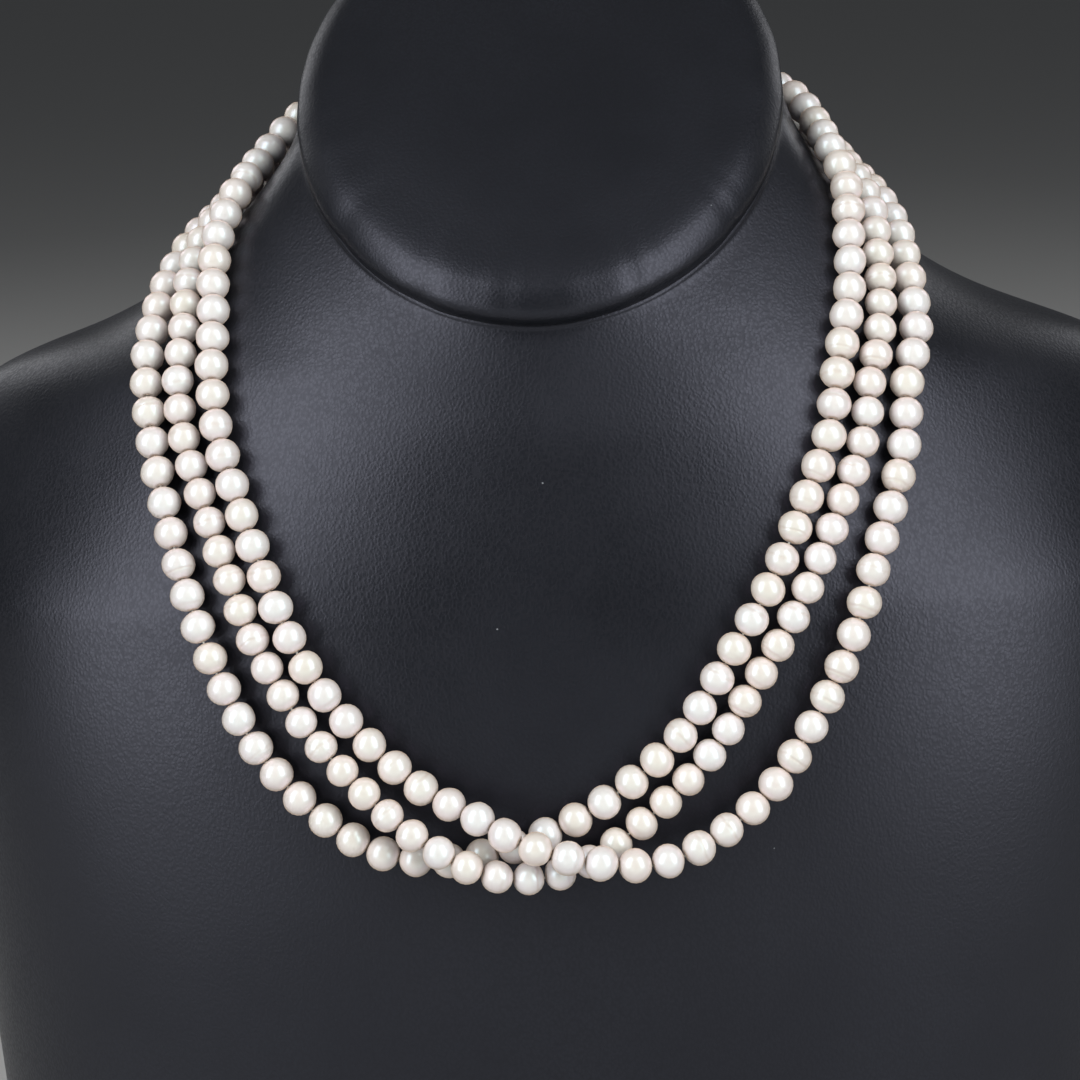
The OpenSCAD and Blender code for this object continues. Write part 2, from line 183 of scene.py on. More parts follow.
class ShaderGroups:
    """Effects that several materials share, each built once as a shader node group."""

    @staticmethod
    def _start(name: str, inputs: dict, outputs: Sequence[str]) -> tuple[Canvas, NodeOutputs, Node]:
        """Starts a shader group.

        Args:
            name: The group's name.
            inputs: Starting value of each input, a vector or a number, by its name.
            outputs: Name of each output.

        Returns:
            The group's canvas, what the group is given, and its output node.
        """
        group = bpy.data.node_groups.new(name, "ShaderNodeTree")
        for label, value in inputs.items():
            kind = "NodeSocketVector" if isinstance(value, tuple) else "NodeSocketFloat"
            group.interface.new_socket(label, in_out="INPUT", socket_type=kind).default_value = value
        for label in outputs:
            group.interface.new_socket(label, in_out="OUTPUT", socket_type="NodeSocketFloat")
        canvas = Canvas(group)
        return canvas, canvas.add("NodeGroupInput").outputs, canvas.add("NodeGroupOutput")

    @classmethod
    @cache
    def leather_grain(cls) -> NodeTree:
        """Returns the pebbled grain of leather: a height, and a mask of the valleys between pebbles."""
        sizes = {"Vector": (0.0, 0.0, 0.0), "Pebble Size": 0.0006, "Upright Stretch": 1.4, "Unevenness": 0.5}
        canvas, given, end = cls._start("LeatherGrain", sizes, ("Height", "Valley"))
        pebbles_per_m = canvas.math("DIVIDE", 1.0, given["Pebble Size"])
        squash = canvas.math("DIVIDE", 1.0, given["Upright Stretch"])
        shape = canvas.add("ShaderNodeCombineXYZ", {0: 1.0, 1: 1.0, 2: squash}).outputs[0]
        place = canvas.vector("MULTIPLY", given["Vector"], shape)
        swirl = canvas.clouds(place, canvas.math("MULTIPLY", pebbles_per_m, 0.5), 1.0)
        push = canvas.vector("SCALE", swirl["Color"], given["Pebble Size"])
        pebbles = canvas.cells(canvas.vector("ADD", place, push), pebbles_per_m)
        low = canvas.stretch(pebbles["Distance"], 0.1, 0.85)
        patch = canvas.math("MULTIPLY", swirl["Fac"], given["Unevenness"])
        canvas.feed(end, {"Height": canvas.math("SUBTRACT", patch, low), "Valley": low})
        return canvas.tree

    @classmethod
    @cache
    def dust(cls) -> NodeTree:
        """Returns a mask of tiny pale specks of dust that lie here and there."""
        sizes = {"Vector": (0.0, 0.0, 0.0), "Spacing": 0.006, "Speck Size": 0.05, "Share Kept": 0.3}
        canvas, given, end = cls._start("DustSpecks", sizes, ("Mask",))
        cells = canvas.cells(given["Vector"], canvas.math("DIVIDE", 1.0, given["Spacing"]))
        near = canvas.math("LESS_THAN", cells["Distance"], given["Speck Size"])
        pick = canvas.add("ShaderNodeSeparateColor", {"Color": cells["Color"]}).outputs[0]
        kept = canvas.math("LESS_THAN", pick, given["Share Kept"])
        canvas.feed(end, {"Mask": canvas.math("MULTIPLY", near, kept)})
        return canvas.tree

    @classmethod
    @cache
    def nacre_rings(cls) -> NodeTree:
        """Returns a pearl's soft rings and dimples round its thread: a height, and a mask of the hollows."""
        sizes = {
            "Along": 0.5,
            "Vector": (0.0, 0.0, 0.0),
            "Pearl Pick": 0.5,
            "Ring Width": 0.05,
            "Ring Wander": 0.16,
            "Dimple Size": 0.0022,
            "Dimple Share": 0.6,
        }
        canvas, given, end = cls._start("NacreRings", sizes, ("Height", "Hollow"))
        pick = given["Pearl Pick"]
        wander = canvas.math("SUBTRACT", canvas.clouds(given["Vector"], 260.0, 1.0)["Fac"], 0.5)
        place = canvas.math("ADD", given["Along"], canvas.math("MULTIPLY", wander, given["Ring Wander"]))
        middle = canvas.math("ADD", canvas.math("MULTIPLY", pick, 0.5), 0.25)
        away = canvas.math("ABSOLUTE", canvas.math("SUBTRACT", place, middle))
        ring = canvas.stretch(canvas.math("DIVIDE", away, given["Ring Width"]), 0.0, 1.0, 1.0, 0.0)
        another_pick = canvas.math("FRACT", canvas.math("MULTIPLY", pick, 17.0))
        ring = canvas.math("MULTIPLY", ring, canvas.stretch(another_pick, 0.45, 0.9))
        dimples = canvas.clouds(given["Vector"], canvas.math("DIVIDE", 1.0, given["Dimple Size"]), 1.5)
        rise = canvas.math("MULTIPLY", dimples["Fac"], given["Dimple Share"])
        canvas.feed(end, {"Height": canvas.math("SUBTRACT", rise, ring), "Hollow": ring})
        return canvas.tree


def new_material(name: str) -> tuple[Material, Canvas, Node]:
    """Starts a node material.

    Args:
        name: The material's name.

    Returns:
        The material, its canvas and its Principled BSDF.
    """
    material = bpy.data.materials.new(name)
    material.use_nodes = True
    return material, Canvas(material.node_tree), material.node_tree.nodes["Principled BSDF"]


def scaled(colour: Colour, share: float) -> Colour:
    """Returns a colour lightened or darkened by a share, opaque."""
    return tuple(share * part for part in colour[:3]) + (1.0,)


@dataclass(frozen=True)
class LeatherFinish:
    """Near-black grained leather with a soft bluish shine and a little dust.

    Attributes:
        name: The material's name.
        tone: Colour of the pebbles' tops.
        valley_shade_tone: Colour between the pebbles, darker: painted shade in the grain's valleys.
        dust_tone: Colour of the dust.
        patch_lift: Colour of the paler patches as a share of the tone.
        pebble_mm: Width of a pebble.
        upright_stretch: Length of a pebble along Z as a share of its width.
        grain_depth_mm: Depth of the grain.
        unevenness: Difference in height between patches of pebbles, as a share of the grain's.
        roughness: Roughness of the pebbles' tops.
        wear: Least and most that wear adds to that roughness.
        valley_roughness: Roughness that the valleys add to it.
        dust_share: Share of the dust's places that hold a speck.
    """

    name: str
    tone: Colour = (0.0052, 0.0060, 0.0078, 1.0)
    valley_shade_tone: Colour = (0.0032, 0.0037, 0.0048, 1.0)
    dust_tone: Colour = (0.16, 0.17, 0.18, 1.0)
    patch_lift: float = 1.3
    pebble_mm: float = 0.60
    upright_stretch: float = 1.2
    grain_depth_mm: float = 0.018
    unevenness: float = 0.6
    roughness: float = 0.32
    wear: Pair = (-0.03, 0.04)
    valley_roughness: float = 0.10
    dust_share: float = 0.12

    def material(self) -> Material:
        """Builds the leather's material."""
        material, canvas, surface = new_material(self.name)
        place = canvas.add("ShaderNodeTexCoord").outputs["Object"]
        grain_sizes = {
            "Vector": place,
            "Pebble Size": self.pebble_mm * MM,
            "Upright Stretch": self.upright_stretch,
            "Unevenness": self.unevenness,
        }
        grain = canvas.add("ShaderNodeGroup", grain_sizes, node_tree=ShaderGroups.leather_grain()).outputs
        dust_sizes = {
            "Vector": place,
            "Spacing": 8.0 * MM,
            "Speck Size": 0.022,
            "Share Kept": self.dust_share,
        }
        dust = canvas.add("ShaderNodeGroup", dust_sizes, node_tree=ShaderGroups.dust()).outputs["Mask"]
        cloud = canvas.clouds(place, per_m=28.0, detail=4.0)["Fac"]
        tone = canvas.blend(canvas.stretch(cloud, 0.35, 0.65), self.tone, scaled(self.tone, self.patch_lift))
        # Painted shade: the valleys between the pebbles are darkened in the colour.
        tone = canvas.blend(grain["Valley"], tone, self.valley_shade_tone)
        tone = canvas.blend(dust, tone, self.dust_tone)
        smoothest, dullest = (self.roughness + change for change in self.wear)
        worn = canvas.stretch(cloud, 0.3, 0.7, smoothest, dullest)
        valleys = canvas.math("MULTIPLY", grain["Valley"], self.valley_roughness)
        looks = {
            "Base Color": tone,
            "Roughness": canvas.math("ADD", worn, valleys),
            "Normal": canvas.bump(grain["Height"], self.grain_depth_mm),
            "Specular Tint": (0.80, 0.82, 1.0, 1.0),
            "Specular IOR Level": 0.5,
        }
        canvas.feed(surface, looks)
        return material


@dataclass(frozen=True)
class NacreFinish:
    """Cream nacre with soft lustre, a faint play of colour, rings with painted shade in their grooves, and
    dimples.

    Attributes:
        name: The material's name.
        cream: The warmer body colour.
        white: The cooler body colour.
        blush: The pinker body colour.
        ring_shade_tone: Colour in the rings' grooves: painted shade.
        glow: Warm tint of the sheen.
        blush_share: Most of the blush that a pearl takes.
        ring_width: Half of a ring's width as a share of the pearl's length.
        roughness: Roughness of the nacre.
        wear: Least and most that soft patches add to that roughness.
        film_nm: Thickness of the layers that give the play of colour.
    """

    name: str
    cream: Colour = (0.77, 0.73, 0.64, 1.0)
    white: Colour = (0.78, 0.775, 0.75, 1.0)
    blush: Colour = (0.77, 0.70, 0.67, 1.0)
    ring_shade_tone: Colour = (0.60, 0.48, 0.38, 1.0)
    glow: Colour = (1.0, 0.70, 0.50, 1.0)
    blush_share: float = 0.55
    ring_width: float = 0.06
    roughness: float = 0.34
    wear: Pair = (-0.03, 0.06)
    film_nm: float = 390.0

    def material(self) -> Material:
        """Builds the nacre's material."""
        material, canvas, surface = new_material(self.name)
        place = canvas.add("ShaderNodeTexCoord").outputs["Object"]
        pick = canvas.add("ShaderNodeAttribute", attribute_name=PEARL_PICK).outputs["Fac"]
        around = canvas.add("ShaderNodeUVMap", uv_map=NACRE_MAP).outputs["UV"]
        ring_sizes = {
            "Along": canvas.add("ShaderNodeSeparateXYZ", {"Vector": around}).outputs["Y"],
            "Vector": place,
            "Pearl Pick": pick,
            "Ring Width": self.ring_width,
        }
        rings = canvas.add("ShaderNodeGroup", ring_sizes, node_tree=ShaderGroups.nacre_rings()).outputs
        cloud = canvas.clouds(place, per_m=420.0, detail=3.0)["Fac"]
        pinkness = canvas.math("FRACT", canvas.math("MULTIPLY", pick, 7.0))
        body = canvas.blend(canvas.stretch(pick, 0.1, 0.9), self.white, self.cream)
        body = canvas.blend(canvas.math("MULTIPLY", pinkness, self.blush_share), body, self.blush)
        body = canvas.blend(canvas.stretch(cloud, 0.35, 0.7, 0.0, 0.22), body, self.cream)
        # Painted shade: the rings' grooves are darkened in the colour.
        ring_shade = canvas.math("MULTIPLY", rings["Hollow"], 0.35)
        smoothest, dullest = (self.roughness + change for change in self.wear)
        looks = {
            "Base Color": canvas.blend(ring_shade, body, self.ring_shade_tone),
            "Roughness": canvas.stretch(cloud, 0.4, 0.7, smoothest, dullest),
            "Normal": canvas.bump(rings["Height"], depth_mm=0.10, strength=0.6),
            "IOR": 2.2,
            "Coat Weight": 0.8,
            "Coat IOR": 1.6,
            "Coat Roughness": 0.24,
            "Sheen Weight": 0.7,
            "Sheen Roughness": 0.45,
            "Sheen Tint": self.glow,
            "Thin Film Thickness": self.film_nm,
            "Thin Film IOR": 1.9,
        }
        canvas.feed(surface, looks)
        return material


@dataclass(frozen=True)
class SilkFinish:
    """White silk thread, twisted.

    Attributes:
        name: The material's name.
        tone: The thread's colour.
        shadow: Colour between the twists as a share of the tone.
        twist_mm: Length of one turn of the twist.
    """

    name: str
    tone: Colour = (0.82, 0.79, 0.72, 1.0)
    shadow: float = 0.6
    twist_mm: float = 0.5

    def material(self) -> Material:
        """Builds the thread's material."""
        material, canvas, surface = new_material(self.name)
        twist_sizes = {
            "Vector": canvas.add("ShaderNodeTexCoord").outputs["Object"],
            "Scale": 1.0 / (2.0 * math.pi * self.twist_mm * MM),
            "Distortion": 1.5,
        }
        twist = canvas.add("ShaderNodeTexWave", twist_sizes, bands_direction="DIAGONAL").outputs["Fac"]
        shade = canvas.math("MULTIPLY", twist, 0.35)
        looks = {
            "Base Color": canvas.blend(shade, self.tone, scaled(self.tone, self.shadow)),
            "Normal": canvas.bump(twist, depth_mm=0.04),
            "Roughness": 0.6,
            "Sheen Weight": 0.3,
        }
        canvas.feed(surface, looks)
        return material


@dataclass(frozen=True)
class GoldFinish:
    """Gold-tone metal, finely brushed along X.

    Attributes:
        name: The material's name.
        tone: The metal's colour.
        shadow: Colour in the brush marks as a share of the tone.
        roughness: Roughness between the brush marks.
    """

    name: str
    tone: Colour = (0.80, 0.60, 0.30, 1.0)
    shadow: float = 0.75
    roughness: float = 0.22

    def material(self) -> Material:
        """Builds the metal's material."""
        material, canvas, surface = new_material(self.name)
        place = canvas.add("ShaderNodeTexCoord").outputs["Object"]
        brushed = canvas.add("ShaderNodeMapping", {"Vector": place, "Scale": (0.05, 1.0, 1.0)}).outputs[0]
        marks = canvas.clouds(brushed, per_m=6000.0, detail=2.0)["Fac"]
        shade = canvas.stretch(marks, 0.3, 0.8, 0.0, 0.5)
        looks = {
            "Base Color": canvas.blend(shade, self.tone, scaled(self.tone, self.shadow)),
            "Roughness": canvas.stretch(marks, 0.2, 0.8, self.roughness, self.roughness + 0.12),
            "Normal": canvas.bump(marks, depth_mm=0.01),
            "Metallic": 1.0,
        }
        canvas.feed(surface, looks)
        return material


def add_object(name: str, data: bpy.types.ID) -> Object:
    """Puts a mesh, light or camera into the scene at the origin."""
    piece = bpy.data.objects.new(name, data)
    bpy.context.scene.collection.objects.link(piece)
    return piece


def finish_piece(piece: Object, nodes: Sequence[str], material: Material) -> Object:
    """Dresses a finished piece and puts it on its body in place of its solids.

    Args:
        piece: The piece.
        nodes: The frame's nodes that it stands for.
        material: Its material.

    Returns:
        The same piece.
    """
    piece.data.materials.clear()
    piece.data.materials.append(material)
    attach(piece, ROOT_BODY)
    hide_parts(*nodes)
    low, high = np.array(piece.bound_box).min(0), np.array(piece.bound_box).max(0)
    size = [round(float(part) / MM, 1) for part in high - low]
    LOG.info("%s: %d faces, %s mm", piece.name, len(piece.data.polygons), size)
    return piece


def evaluated_mesh(piece: Object, name: str) -> Mesh:
    """Returns a plain mesh of what an object's modifiers make."""
    depsgraph = bpy.context.evaluated_depsgraph_get()
    mesh = bpy.data.meshes.new_from_object(piece.evaluated_get(depsgraph), depsgraph=depsgraph)
    mesh.name = name
    return mesh


def smooth_copy(node: str, name: str, levels: int = 2) -> Mesh:
    """Copies a node's faceted mesh, joins its triangles to quads and rounds it by subdivision.

    Args:
        node: The frame's node.
        name: Name of the new mesh.
        levels: Levels of subdivision.

    Returns:
        The smooth mesh.
    """
    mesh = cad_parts[node].data.copy()
    work = bmesh.new()
    work.from_mesh(mesh)
    bmesh.ops.remove_doubles(work, verts=work.verts, dist=TINY_M)
    bmesh.ops.join_triangles(
        work, faces=work.faces, angle_face_threshold=math.pi, angle_shape_threshold=math.pi
    )
    work.to_mesh(mesh)
    work.free()
    draft = add_object(name + "_draft", mesh)
    rounding = draft.modifiers.new("rounding", "SUBSURF")
    rounding.levels = levels
    rounding.render_levels = levels
    ready = evaluated_mesh(draft, name)
    bpy.data.objects.remove(draft)
    ready.shade_smooth()
    return ready


@dataclass
class SkinPoints:
    """A mesh's vertices, read at once so that they can be moved along their first normals.

    Attributes:
        mesh: The mesh.
        places: Its vertices' positions.
        normals: Their normals before any move.
    """

    mesh: Mesh
    places: np.ndarray = field(init=False)
    normals: np.ndarray = field(init=False)

    def __post_init__(self) -> None:
        """Reads the positions and normals."""
        count = 3 * len(self.mesh.vertices)
        self.places = np.empty(count, np.float32)
        self.normals = np.empty(count, np.float32)
        self.mesh.vertices.foreach_get("co", self.places)
        self.mesh.vertex_normals.foreach_get("vector", self.normals)
        self.places.shape = self.normals.shape = (-1, 3)

    def move_by(self, offsets: np.ndarray) -> None:
        """Moves each vertex by its offset, in metres."""
        moved = (self.places + offsets).astype(np.float32)
        self.mesh.vertices.foreach_set("co", moved.ravel())
        self.mesh.update()


def swell(places: np.ndarray, reach: float) -> np.ndarray:
    """Returns a soft random rise between 0 and 1 at each place, with rises about reach metres apart."""
    return np.array([0.5 + 0.5 * noise.noise(Vector(place) / reach) for place in places])


def ramp(values: np.ndarray, band: Pair) -> np.ndarray:
    """Returns how far each value has come from the band's start over its length, between 0 and 1."""
    start, length = band
    return np.clip((values - start) / length, 0.0, 1.0)


@dataclass
class BustCover:
    """Leather cover of the chest, shoulders and neck.

    Attributes:
        finish: The leather.
        swell_mm: Most that the leather lies in from the solid, in low soft swells.
        broad_share: Share of that depth that the broad swells take.
        fine_share: Share that the fine ones take.
        flat_mm: Height under which the leather keeps the flat base's shape.
        node: The frame's node of the bust.
    """

    finish: LeatherFinish
    swell_mm: float = 0.18
    broad_share: float = 0.7
    fine_share: float = 0.3
    flat_mm: float = 2.0
    node: str = "bust_form"

    def build(self) -> Object:
        """Builds the cover's mesh from the bust's own solid."""
        mesh = smooth_copy(self.node, "bust_leather")
        skin = SkinPoints(mesh)
        inward = self.broad_share * swell(skin.places, NoiseReach.BROAD.value)
        inward += self.fine_share * swell(skin.places, NoiseReach.FINE.value)
        inward *= skin.places[:, 2] > self.flat_mm * MM
        skin.move_by(-skin.normals * (self.swell_mm * MM * inward)[:, None])
        return add_object("bust_leather", mesh)

    def dress(self, piece: Object) -> Object:
        """Gives the cover its leather."""
        return finish_piece(piece, [self.node], self.finish.material())


@dataclass(frozen=True)
class OvalPlaces:
    """Where a pad's vertices lie on its slanted oval.

    Attributes:
        offsets: Positions from the middle of the pad's box, in metres.
        outward: Direction out of the oval face.
        facing: How far the normals point out of the face, from -1 to 1.
        radial: Directions away from the middle, in the face's plane.
        angles: Angles round the oval in degrees, from +X towards the back.
        away: Distances from the oval's middle as shares of the distance to its edge.
        half_width: Half of the oval's width, in metres.
    """

    offsets: np.ndarray
    outward: np.ndarray
    facing: np.ndarray
    radial: np.ndarray
    angles: np.ndarray
    away: np.ndarray
    half_width: float

    @classmethod
    def on_face(cls, skin: SkinPoints, node: str, tilt_deg: float) -> "OvalPlaces":
        """Finds the places on a face that rises towards the back.

        Args:
            skin: The pad's vertices.
            node: The frame's node of the pad.
            tilt_deg: Slope of the face from level.

        Returns:
            The places.
        """
        low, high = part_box(node)
        tilt = math.radians(tilt_deg)
        outward = np.array((0.0, -math.sin(tilt), math.cos(tilt)))
        uphill = np.array((0.0, math.cos(tilt), math.sin(tilt)))
        offsets = skin.places - np.array((low + high) / 2.0)
        along = offsets @ uphill
        half_length = (along.max() - along.min()) / 2.0
        along = (along - (along.max() + along.min()) / 2.0) / half_length
        half_width = (high.x - low.x) / 2.0
        across = offsets[:, 0] / half_width
        angles = np.degrees(np.arctan2(along, across))
        flat = offsets - np.outer(offsets @ outward, outward)
        radial = flat / np.linalg.norm(flat, axis=1, keepdims=True).clip(TINY_M)
        facing = skin.normals @ outward
        return cls(offsets, outward, facing, radial, angles, np.hypot(across, along), half_width)

    def front(self) -> np.ndarray:
        """Returns how far each vertex lies towards the front: 1 at the front and 0 at the back."""
        return 0.5 - 0.5 * np.sin(np.radians(self.angles))

    def height(self) -> np.ndarray:
        """Returns each vertex's height over the face as a share of the pad's thickness."""
        rise = self.offsets @ self.outward
        return np.clip((rise - rise.min()) / (rise.max() - rise.min()), 0.0, 1.0)


@dataclass
class FacePad:
    """Padded oval cover of the slanted face, with a rolled edge and small puckers.

    A band says how far from the oval's middle a form sets in, and over what distance it grows to its full
    size, both as shares of the distance to the oval's edge.

    Attributes:
        finish: The leather.
        tilt_deg: Slope of the face from level.
        puckers: Angle round the oval in degrees, width in degrees and depth in millimetres of each pucker.
        wave_mm: Depth of the soft waves along the rolled edge.
        wave_deg: Angle from one wave to the next.
        wave_row: Line through the noise on which the waves are read.
        pull: Share of the puckers and waves that goes straight to the middle. The rest follows the skin.
        edge_band: Band of the rolled edge.
        sink_mm: Depth of the soft hollows of the padded face.
        lip_mm: Reach of the roll past its solid, at the back and at the front.
        roll_mm: Radius of the solid's rolled edge.
        spread: Share of that radius by which the roll's top runs further in over the face.
        spread_band: Band of that spread.
        shoulder_mm: Depth by which the face turns down before its roll, so that the two run together.
        shoulder_band: Band of that turn.
        droop_mm: Depth by which the front of the roll hangs down outside the neck's edge.
        droop_back: Share of that depth at the back.
        droops: How far the skin points out of the face, in rising order, and the share of the droop there.
        node: The frame's node of the pad.
    """

    finish: LeatherFinish
    tilt_deg: float = 40.0
    puckers: tuple = (
        (-66.0, 2.2, 0.22),
        (-60.0, 2.4, 0.20),
        (-38.0, 2.6, 0.28),
        (-33.0, 2.0, 0.16),
        (-96.0, 2.6, 0.16),
        (-118.0, 3.0, 0.20),
        (-142.0, 2.6, 0.18),
    )
    wave_mm: float = 0.35
    wave_deg: float = 9.0
    wave_row: float = 0.3
    pull: float = 0.4
    edge_band: Pair = (0.80, 0.12)
    sink_mm: float = 0.25
    lip_mm: Pair = (0.4, 1.5)
    roll_mm: float = 4.4
    spread: float = 0.8
    spread_band: Pair = (0.64, 0.24)
    shoulder_mm: float = 2.2
    shoulder_band: Pair = (0.50, 0.48)
    droop_mm: float = 1.9
    droop_back: float = 0.25
    droops: tuple = ((-0.97, 0.0), (-0.62, 1.0), (0.0, 0.63), (0.87, 0.0))
    node: str = "neck_pad"

    def _dents(self, spots: OvalPlaces) -> np.ndarray:
        """Returns the depth of the waves and puckers at each vertex's angle, in millimetres."""
        turns = spots.angles / self.wave_deg
        row = np.column_stack((turns, np.full_like(turns, self.wave_row), np.zeros_like(turns)))
        depth = self.wave_mm * swell(row, 1.0)
        for place, width, deep in self.puckers:
            depth += deep * np.exp(-(((spots.angles - place) / width) ** 2))
        return depth

    def _slide(self, spots: OvalPlaces) -> np.ndarray:
        """Returns how far each vertex moves in, in millimetres, as the roll's top spreads over the face."""
        slope = 1.0 - np.sqrt(1.0 - np.clip(spots.facing, 0.0, 1.0) ** 2)
        return self.spread * self.roll_mm * slope * ramp(spots.away, self.spread_band)

    def _sink(self, spots: OvalPlaces, edge: np.ndarray, slide: np.ndarray) -> np.ndarray:
        """Finds how far each vertex moves down into the face.

        Args:
            spots: The vertices' places on the oval.
            edge: How far they belong to the rolled edge.
            slide: How far they have moved in, in millimetres.

        Returns:
            The depths, in millimetres.
        """
        reach = spots.away - slide * MM / spots.half_width
        shoulder = self.shoulder_mm * ramp(reach, self.shoulder_band) ** 2 * spots.height()
        share = np.interp(spots.facing, *zip(*self.droops))
        droop = self.droop_mm * share * edge * (self.droop_back + (1.0 - self.droop_back) * spots.front())
        hollows = self.sink_mm * swell(spots.offsets, NoiseReach.BROAD.value) * (1.0 - edge)
        return hollows + (shoulder + droop)

    def build(self) -> Object:
        """Builds the pad's mesh from its own solid."""
        mesh = smooth_copy(self.node, "face_pad")
        skin = SkinPoints(mesh)
        spots = OvalPlaces.on_face(skin, self.node, self.tilt_deg)
        edge = ramp(spots.away, self.edge_band)
        slide = self._slide(spots)
        back_lip, front_lip = self.lip_mm
        lip = (back_lip + (front_lip - back_lip) * spots.front()) * edge
        inward = (1.0 - self.pull) * skin.normals + self.pull * spots.radial
        inward *= (self._dents(spots) * edge)[:, None]
        inward -= spots.radial * lip[:, None]
        inward += spots.radial * slide[:, None]
        sink = self._sink(spots, edge, slide)
        skin.move_by(-(inward + np.outer(sink, spots.outward)) * MM)
        return add_object("face_pad", mesh)

    def dress(self, piece: Object) -> Object:
        finish_piece(piece, [self.node], self.finish.material())
        return piece


@dataclass(frozen=True)
class PearlSpot:
    """Where one pearl sits on its thread.

    Attributes:
        centre: Its middle, in metres.
        run: Direction of the thread through it.
    """

    centre: Vector
    run: Vector


@dataclass(frozen=True)
class ThreadPearls:
    """Geometry tree that threads differing pearls on points, shared by the strands.

    Attributes:
        canvas: The tree's canvas.
        given: What the tree is given.
    """

    canvas: Canvas
    given: NodeOutputs

    @classmethod
    @cache
    def tree(cls) -> NodeTree:
        """Returns the tree, with a named input for each size."""
        tree = bpy.data.node_groups.new("ThreadPearls", "GeometryNodeTree")
        kinds = {
            "Geometry": "Geometry",
            "Pearl": "Object",
            "Seed": "Int",
            "Width Spread": "Float",
            "Length Spread": "Float",
            "Dent Depth": "Float",
            "Dent Size": "Float",
            "Material": "Material",
        }
        for name, kind in kinds.items():
            tree.interface.new_socket(name, in_out="INPUT", socket_type="NodeSocket" + kind)
        tree.interface.new_socket("Geometry", in_out="OUTPUT", socket_type="NodeSocketGeometry")
        canvas = Canvas(tree)
        threading = cls(canvas, canvas.add("NodeGroupInput").outputs)
        canvas.feed(canvas.add("NodeGroupOutput"), {"Geometry": threading._dressed_pearls()})
        return tree

    def _dressed_pearls(self) -> NodeSocket:
        """Returns the pearls on their points, each with a number for its colour, dented and dressed."""
        canvas, given = self.canvas, self.given
        threading = {
            "Points": given["Geometry"],
            "Instance": canvas.add("GeometryNodeObjectInfo", {"Object": given["Pearl"]}).outputs["Geometry"],
            "Rotation": self._facing(),
            "Scale": self._size(),
        }
        pearls = canvas.add("GeometryNodeInstanceOnPoints", threading).outputs[0]
        pick_seed = {"Seed": canvas.math("ADD", given["Seed"], 2.0)}
        pick = canvas.add("FunctionNodeRandomValue", pick_seed, data_type="FLOAT").outputs[1]
        mark = {"Geometry": pearls, "Name": PEARL_PICK, "Value": pick}
        marked = canvas.add("GeometryNodeStoreNamedAttribute", mark, data_type="FLOAT", domain="INSTANCE")
        real = canvas.add("GeometryNodeRealizeInstances", {"Geometry": marked.outputs[0]}).outputs[0]
        shaped = canvas.add("GeometryNodeSetPosition", {"Geometry": real, "Offset": self._dents()}).outputs[0]
        dressing = {"Geometry": shaped, "Material": given["Material"]}
        return canvas.add("GeometryNodeSetMaterial", dressing).outputs[0]

    def _facing(self) -> NodeSocket:
        """Returns each pearl's rotation: its hole along the thread, and a random turn round it."""
        canvas = self.canvas
        run = canvas.add("GeometryNodeInputNamedAttribute", {"Name": THREAD_RUN}, data_type="FLOAT_VECTOR")
        aim = canvas.add("FunctionNodeAlignRotationToVector", {"Vector": run.outputs[0]}, axis="Z")
        turns = {2: 0.0, 3: 2.0 * math.pi, "Seed": self.given["Seed"]}
        turn = canvas.add("FunctionNodeRandomValue", turns, data_type="FLOAT").outputs[1]
        spin = canvas.add("FunctionNodeAxisAngleToRotation", {"Axis": (0.0, 0.0, 1.0), "Angle": turn})
        parts = {"Rotation": aim.outputs[0], "Rotate By": spin.outputs[0]}
        return canvas.add("FunctionNodeRotateRotation", parts, rotation_space="LOCAL").outputs[0]

    def _size(self) -> NodeSocket:
        """Returns each pearl's random scale, in which width and thickness differ by themselves."""
        canvas, given = self.canvas, self.given
        narrow = canvas.math("SUBTRACT", 1.0, given["Width Spread"])
        short = canvas.math("SUBTRACT", 1.0, given["Length Spread"])
        least = canvas.add("ShaderNodeCombineXYZ", {0: narrow, 1: narrow, 2: short}).outputs[0]
        scales = {0: least, 1: (1.0, 1.0, 1.0), "Seed": canvas.math("ADD", given["Seed"], 1.0)}
        return canvas.add("FunctionNodeRandomValue", scales, data_type="FLOAT_VECTOR").outputs[0]

    def _dents(self) -> NodeSocket:
        """Returns the inward move that makes low dents."""
        canvas, given = self.canvas, self.given
        dents_per_m = canvas.math("DIVIDE", 1.0, given["Dent Size"])
        dents = canvas.add("ShaderNodeTexNoise", {"Scale": dents_per_m, "Detail": 0.0}).outputs["Fac"]
        depth = canvas.math("MULTIPLY", canvas.stretch(dents, 0.45, 0.8), given["Dent Depth"])
        normal = canvas.add("GeometryNodeInputNormal").outputs[0]
        return canvas.vector("SCALE", normal, canvas.math("MULTIPLY", depth, -1.0))


